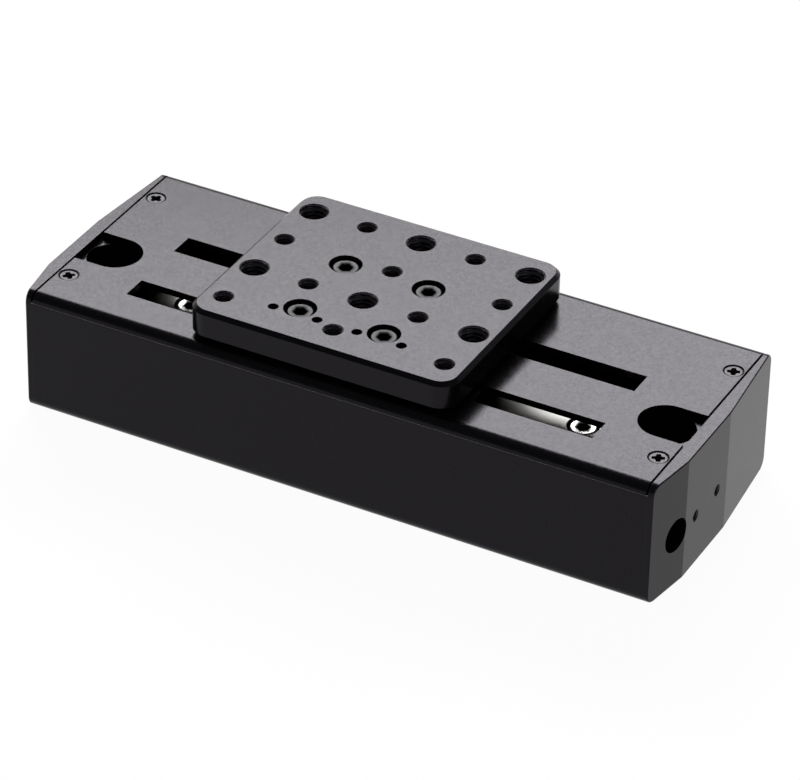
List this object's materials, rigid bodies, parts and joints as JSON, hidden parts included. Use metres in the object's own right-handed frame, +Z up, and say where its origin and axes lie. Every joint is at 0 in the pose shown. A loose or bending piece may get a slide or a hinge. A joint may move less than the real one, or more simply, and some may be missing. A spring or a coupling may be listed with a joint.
{
  "type": "motorised linear translation stage",
  "caption": "Low black motorised linear stage: a drilled square carriage plate slides along a covered rectangular base with two long slots.",
  "frame": {"origin": "centre of the base's bottom face", "axes": "+X along the travel towards the end with the cable hole, +Y to the back, +Z up through the carriage plate"},
  "size_m": [0.1452, 0.056, 0.035],
  "materials": {
    "black_anodised": "black anodised, satin",
    "nickel_screw": "nickel plated",
    "bright_screw": "bright zinc",
    "black_screw": "black oxide",
    "bearing_steel": "ground",
    "nickel_steel": "nickel plated",
    "magnet_nickel": "nickel plated magnet",
    "plain_aluminium": "clear anodised",
    "copper_wire": "enamelled copper",
    "coil_resin": "cast resin",
    "flex_film": "polyimide film",
    "black_plastic": "moulded",
    "board_green": "solder mask",
    "black_rubber": "matt",
    "scale_steel": "etched steel tape"
  },
  "bodies": {
    "base": {"base_body": "black_anodised", "top_cover": "black_anodised", "end_cap_left": "black_anodised", "end_cap_right": "black_anodised", "cover_screws": "nickel_screw", "end_cap_screws": "nickel_screw", "guide_rail": "bearing_steel", "rail_screws": "bright_screw", "coil_windings": "copper_wire", "coil_blade": "coil_resin", "coil_bar": "plain_aluminium", "coil_bar_screws": "black_screw", "coil_flex_lead": "flex_film", "read_head": "black_plastic", "read_head_bracket": "plain_aluminium", "read_head_screws": "black_screw", "circuit_board": "board_green", "board_screws": "bright_screw", "board_chips": "black_plastic", "board_connector": "black_plastic", "bumpers_left": "black_rubber", "bumpers_right": "black_rubber"},
    "carriage": {"carriage_plate": "black_anodised", "plate_screws": "black_screw", "slider_bracket": "black_anodised", "magnet_yoke": "nickel_steel", "magnets_front": "magnet_nickel", "magnets_rear": "magnet_nickel", "yoke_screws": "black_screw", "bearing_block": "bearing_steel", "bearing_end_cap_left": "black_plastic", "bearing_end_cap_right": "black_plastic", "bearing_seal_left": "black_rubber", "bearing_seal_right": "black_rubber", "bearing_balls": "bearing_steel", "encoder_scale": "scale_steel"}
  },
  "joints": [
    {"name": "carriage_slide", "type": "slide", "parent": "base", "child": "carriage", "axis": [1, 0, 0], "range_m": [-0.0205, 0.0295]}
  ]
}
